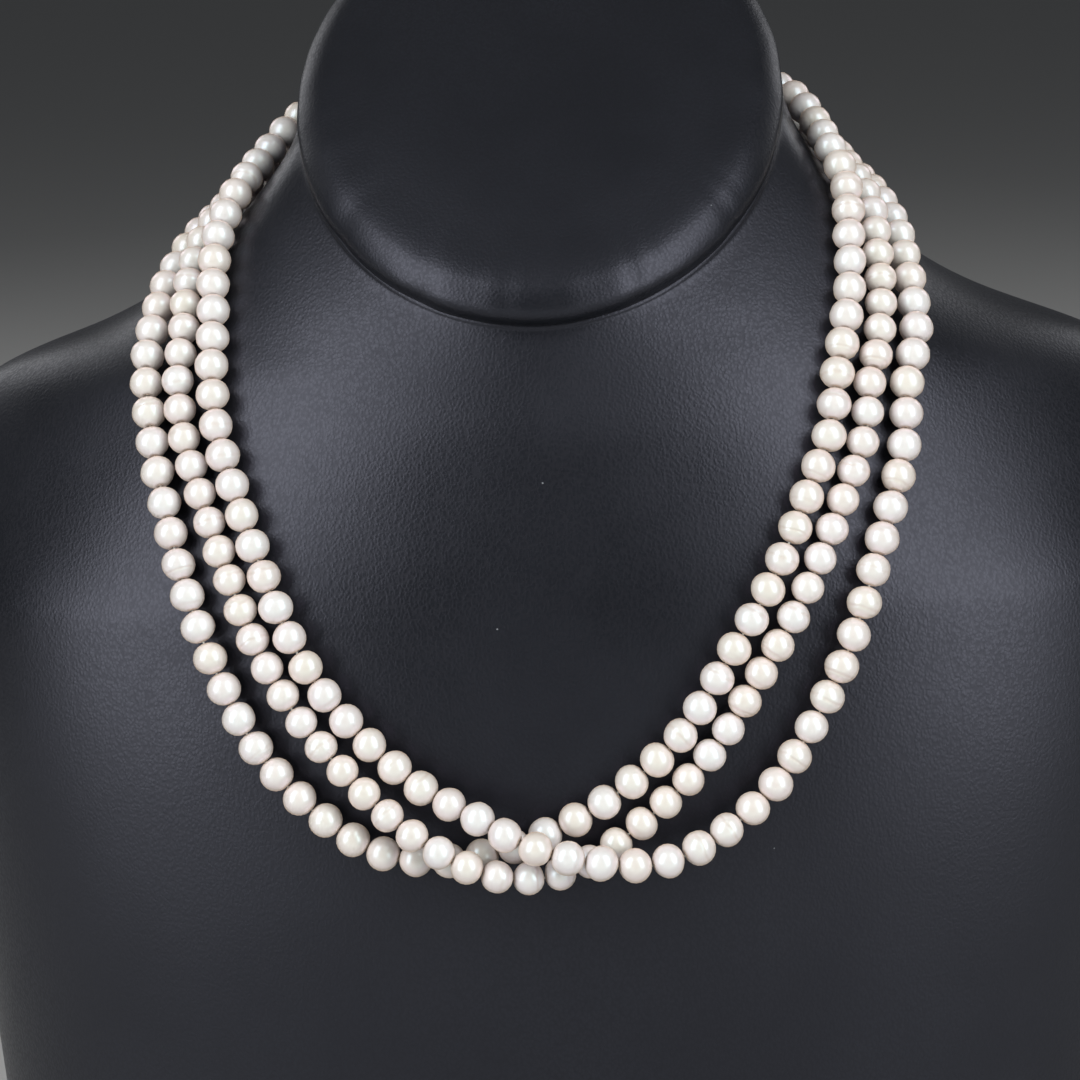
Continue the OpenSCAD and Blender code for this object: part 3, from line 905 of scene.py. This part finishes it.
@dataclass
class PearlStrand:
    """One strand of drilled off-round pearls.

    Attributes:
        node: The frame's node of the strand.
        finish: The nacre.
        width_mm: Width of a pearl across its thread.
        seed: Number that sets the strand's random differences.
        roundness: Length of a pearl along its thread as a share of its width.
        hole_mm: Diameter of the drilled hole.
        width_spread: Share by which a pearl may be narrower.
        length_spread: Share by which a pearl may be shorter.
        dent_mm: Depth of the low dents of the off-round pearls.
        dent_reach_mm: Distance from one dent to the next.
        sides: Points round a pearl.
        rows: Rows of faces along it.
    """

    node: str
    finish: NacreFinish
    width_mm: float
    seed: int
    roundness: float = 0.925
    hole_mm: float = 1.1
    width_spread: float = 0.04
    length_spread: float = 0.02
    dent_mm: float = 0.16
    dent_reach_mm: float = 5.0
    sides: int = 16
    rows: int = 10

    def spots(self) -> list[PearlSpot]:
        """Finds the pearls in the node's mesh, in their order along the thread.

        Returns:
            One spot for each pearl, with the thread's direction through it.
        """
        work = bmesh.new()
        work.from_mesh(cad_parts[self.node].data)
        bmesh.ops.remove_doubles(work, verts=work.verts, dist=TINY_M)
        seen: set[int] = set()
        centres: list[Vector] = []
        for vertex in work.verts:
            if vertex.index in seen:
                continue
            island, front = [], [vertex]
            seen.add(vertex.index)
            while front:
                here = front.pop()
                island.append(here.co)
                for edge in here.link_edges:
                    other = edge.other_vert(here)
                    if other.index not in seen:
                        seen.add(other.index)
                        front.append(other)
            points = np.array(island)
            centres.append(Vector((points.min(0) + points.max(0)) / 2.0))
        work.free()
        return self._in_order(centres)

    @staticmethod
    def _in_order(centres: list[Vector]) -> list[PearlSpot]:
        """Orders centres by nearest neighbour and gives each its direction.

        Args:
            centres: The pearls' centres in any order.

        Returns:
            The spots, from the pearl on the +X side that lies furthest back, nearest to the clasp.
        """
        right = [centre for centre in centres if centre.x > 0.0]
        here = max(right, key=lambda centre: centre.y - 0.2 * centre.x)
        left = [centre for centre in centres if centre is not here]
        line = [here]
        while left:
            here = min(left, key=lambda centre: (centre - line[-1]).length)
            left.remove(here)
            line.append(here)
        spots = []
        for index, centre in enumerate(line):
            ahead = line[min(index + 1, len(line) - 1)]
            behind = line[max(index - 1, 0)]
            spots.append(PearlSpot(centre, (ahead - behind).normalized()))
        return spots

    def _profile(self) -> list[Pair]:
        """Returns the radius and height of each ring of points, from one end of the hole to the other."""
        end_radius = self.width_mm * self.roundness / 2.0 * MM
        offset = self.width_mm / 2.0 * MM - end_radius
        hole = self.hole_mm / 2.0 * MM
        turn = math.acos((hole - offset) / end_radius)
        angles = [-turn + 2.0 * turn * row / self.rows for row in range(self.rows + 1)]
        return [(offset + end_radius * math.cos(angle), end_radius * math.sin(angle)) for angle in angles]

    def pearl_mesh(self) -> Mesh:
        """Makes one pearl round Z, drilled through.

        Returns:
            The pearl's mesh, with a map that runs from end to end.
        """
        work = bmesh.new()
        layer = work.loops.layers.uv.new(NACRE_MAP)
        turns = [2.0 * math.pi * side / self.sides for side in range(self.sides)]
        rings = []
        for radius, height in self._profile():
            round_ring = [(radius * math.cos(turn), radius * math.sin(turn), height) for turn in turns]
            rings.append([work.verts.new(point) for point in round_ring])
        for row in range(len(rings)):
            lower, upper = rings[row], rings[(row + 1) % len(rings)]
            ends = (row, row, row + 1, row + 1) if row < self.rows else (self.rows, self.rows, 0, 0)
            for side in range(self.sides):
                after = (side + 1) % self.sides
                face = work.faces.new((lower[side], lower[after], upper[after], upper[side]))
                face.smooth = True
                for loop, end, place in zip(face.loops, ends, (side, side + 1, side + 1, side)):
                    loop[layer].uv = (place / self.sides, end / self.rows)
        bmesh.ops.recalc_face_normals(work, faces=work.faces)
        mesh = bpy.data.meshes.new(self.node + "_pearl")
        work.to_mesh(mesh)
        work.free()
        return mesh

    def build(self) -> Object:
        """Threads the strand's pearls and returns them as one plain mesh object."""
        spots = self.spots()
        points = bpy.data.meshes.new(self.node + "_points")
        points.from_pydata([spot.centre for spot in spots], [], [])
        runs = points.attributes.new(THREAD_RUN, "FLOAT_VECTOR", "POINT")
        runs.data.foreach_set("vector", np.array([spot.run for spot in spots]).ravel())
        draft = add_object(self.node + "_draft", points)
        pearl = add_object(self.node + "_pearl", self.pearl_mesh())
        threading = draft.modifiers.new("threading", "NODES")
        threading.node_group = ThreadPearls.tree()
        values = {
            "Pearl": pearl,
            "Seed": self.seed,
            "Width Spread": self.width_spread,
            "Length Spread": self.length_spread,
            "Dent Depth": self.dent_mm * MM,
            "Dent Size": self.dent_reach_mm * MM,
            "Material": self.finish.material(),
        }
        for item in threading.node_group.interface.items_tree:
            if item.item_type == "SOCKET" and item.in_out == "INPUT" and item.name in values:
                threading[item.identifier] = values[item.name]
        mesh = evaluated_mesh(draft, self.node.replace("_pearls", "_nacre"))
        for spare in (draft, pearl):
            bpy.data.objects.remove(spare)
        mesh.shade_smooth()
        LOG.info("%s: %d pearls threaded", self.node, len(spots))
        return add_object(mesh.name, mesh)

    def dress(self, piece: Object) -> Object:
        """Puts the strand's pearls in place of their solids."""
        return finish_piece(piece, [self.node], bpy.data.materials[self.finish.name])


@dataclass
class PlainNodes:
    """Nodes whose shape is right and that only get a finish.

    Attributes:
        nodes: The frame's nodes.
        material: Their material.
    """

    nodes: Sequence[str]
    material: Material

    def dress(self) -> None:
        """Gives each node its material."""
        for node in self.nodes:
            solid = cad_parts[node]
            if not solid.material_slots:
                solid.data.materials.append(self.material)
            for slot in solid.material_slots:
                slot.material = self.material
            LOG.info("%s: kept as its solid", node)


@dataclass(frozen=True)
class SoftLight:
    """A soft rectangular light that faces the chest and isn't seen by the camera.

    Attributes:
        name: Its name.
        offset: Where it stands from the chest, in metres, on the +X side where it has a twin.
        size: Its width and height, in metres.
        power: Its power in watts.
    """

    name: str
    offset: tuple[float, float, float]
    size: Pair
    power: float

    def stand(self, chest: Vector, side: Optional[Side] = None) -> None:
        """Stands the light in the scene.

        Args:
            chest: Point that it faces.
            side: Side on which it stands, for a light that has a twin.
        """
        sign, name = (side.value, f"{self.name}_{side.name.lower()}") if side else (1, self.name)
        light = bpy.data.lights.new(name, "AREA")
        light.shape = "RECTANGLE"
        light.size, light.size_y = self.size
        light.energy = self.power
        holder = add_object(name, light)
        holder.location = chest + Vector((sign * self.offset[0], *self.offset[1:]))
        holder.rotation_euler = (chest - holder.location).to_track_quat("-Z", "Y").to_euler()
        holder.visible_camera = False


@dataclass(frozen=True)
class Studio:
    """Camera, soft lights and plain pale floor.

    Attributes:
        target_mm: Point that the camera looks at, from the neck's axis on the base's level.
        distance_mm: Distance of the camera.
        elevation_deg: Height of the camera over the target.
        yaw_deg: Turn of the camera round the bust.
        roll_deg: Lean of the camera.
        focal_px: Focal length in pixels of the square frame.
        frame_px: Side of the square frame.
        back_depth_mm: Depth of the bust behind the neck's axis.
        chest: Point that the lights face, from the neck's axis on the base's level, in metres.
        key: Main light, on both sides of the camera.
        rear: Light from behind, on both sides.
        top: Light from above.
    """

    target_mm: tuple[float, float, float] = (0.0, -57.0, 150.0)
    distance_mm: float = 650.0
    elevation_deg: float = 11.4
    yaw_deg: float = 3.4
    roll_deg: float = 2.1
    focal_px: float = 3611.1
    frame_px: float = 1080.0
    back_depth_mm: float = 44.0
    chest: tuple[float, float, float] = (0.0, -0.05, 0.17)
    key: SoftLight = SoftLight("key", (0.60, -0.53, 0.34), (0.48, 1.25), 8.6)
    rear: SoftLight = SoftLight("rear", (0.90, 0.90, 0.60), (0.60, 0.60), 2.0)
    top: SoftLight = SoftLight("top", (0.0, 0.0, 0.90), (0.80, 0.80), 0.38)

    def neck_axis(self) -> Vector:
        """Returns the point under the neck's axis, found from the bust's own box."""
        return Vector((0.0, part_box("bust_form")[1].y - self.back_depth_mm * MM, 0.0))

    def add_camera(self) -> None:
        """Stands the camera at the photograph's view."""
        up_angle = math.radians(self.elevation_deg)
        yaw, roll = math.radians(self.yaw_deg), math.radians(self.roll_deg)
        forward = Vector(
            (-math.sin(yaw) * math.cos(up_angle), math.cos(yaw) * math.cos(up_angle), -math.sin(up_angle))
        )
        level = Vector((math.cos(yaw), math.sin(yaw), 0.0))
        right = level * math.cos(roll) - level.cross(forward) * math.sin(roll)
        up = right.cross(forward)
        target = self.neck_axis() + Vector(self.target_mm) * MM
        camera = bpy.data.cameras.new("camera")
        camera.angle = 2.0 * math.atan(self.frame_px / 2.0 / self.focal_px)
        camera.clip_start = 0.01
        camera.clip_end = 50.0
        holder = add_object("camera", camera)
        turn = Matrix((right, up, -forward)).transposed().to_4x4()
        holder.matrix_world = Matrix.Translation(target - forward * (self.distance_mm * MM)) @ turn
        bpy.context.scene.camera = holder

    def light_room(self) -> None:
        """Lights the bust from both sides and from above, in a dim pale room."""
        chest = self.neck_axis() + Vector(self.chest)
        for side in Side:
            self.key.stand(chest, side)
            self.rear.stand(chest, side)
        self.top.stand(chest)
        world = bpy.data.worlds.new("room")
        world.use_nodes = True
        looks = {"Color": (0.80, 0.83, 0.88, 1.0), "Strength": 0.07}
        Canvas(world.node_tree).feed(world.node_tree.nodes["Background"], looks)
        bpy.context.scene.world = world
        bpy.context.scene.view_settings.view_transform = "Standard"

    def lay_floor(self) -> None:
        """Lays a plain pale floor under the base."""
        work = bmesh.new()
        bmesh.ops.create_grid(work, x_segments=1, y_segments=1, size=8.0)
        mesh = bpy.data.meshes.new("floor")
        work.to_mesh(mesh)
        work.free()
        material, canvas, surface = new_material("pale_floor")
        canvas.feed(surface, {"Base Color": (0.55, 0.55, 0.54, 1.0), "Roughness": 0.85})
        mesh.materials.append(material)
        add_object("floor", mesh)

    def set_up(self) -> None:
        """Sets up the floor, the lights and the camera."""
        self.lay_floor()
        self.light_room()
        self.add_camera()


def main() -> None:
    """Builds and dresses the pieces in order, and logs each finished piece's size."""
    logging.basicConfig(level=logging.INFO, format="%(name)s: %(message)s")
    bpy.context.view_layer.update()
    Studio().set_up()
    cover = BustCover(LeatherFinish("bust_grain_leather"))
    cover.dress(cover.build())
    pad = FacePad(LeatherFinish("pad_grain_leather", upright_stretch=1.0))
    pad.dress(pad.build())
    strands = (
        PearlStrand("top_strand_pearls", NacreFinish("top_strand_nacre"), width_mm=6.5, seed=11),
        PearlStrand("middle_strand_pearls", NacreFinish("middle_strand_nacre"), width_mm=6.2, seed=23),
        PearlStrand("under_strand_pearls", NacreFinish("under_strand_nacre"), width_mm=6.5, seed=37),
    )
    for strand in strands:
        strand.dress(strand.build())
    threads = ("top_strand_thread", "middle_strand_thread", "under_strand_thread")
    PlainNodes(threads, SilkFinish("white_silk").material()).dress()
    PlainNodes(("clasp",), GoldFinish("gold_tone").material()).dress()


if __name__ == "__main__":
    main()
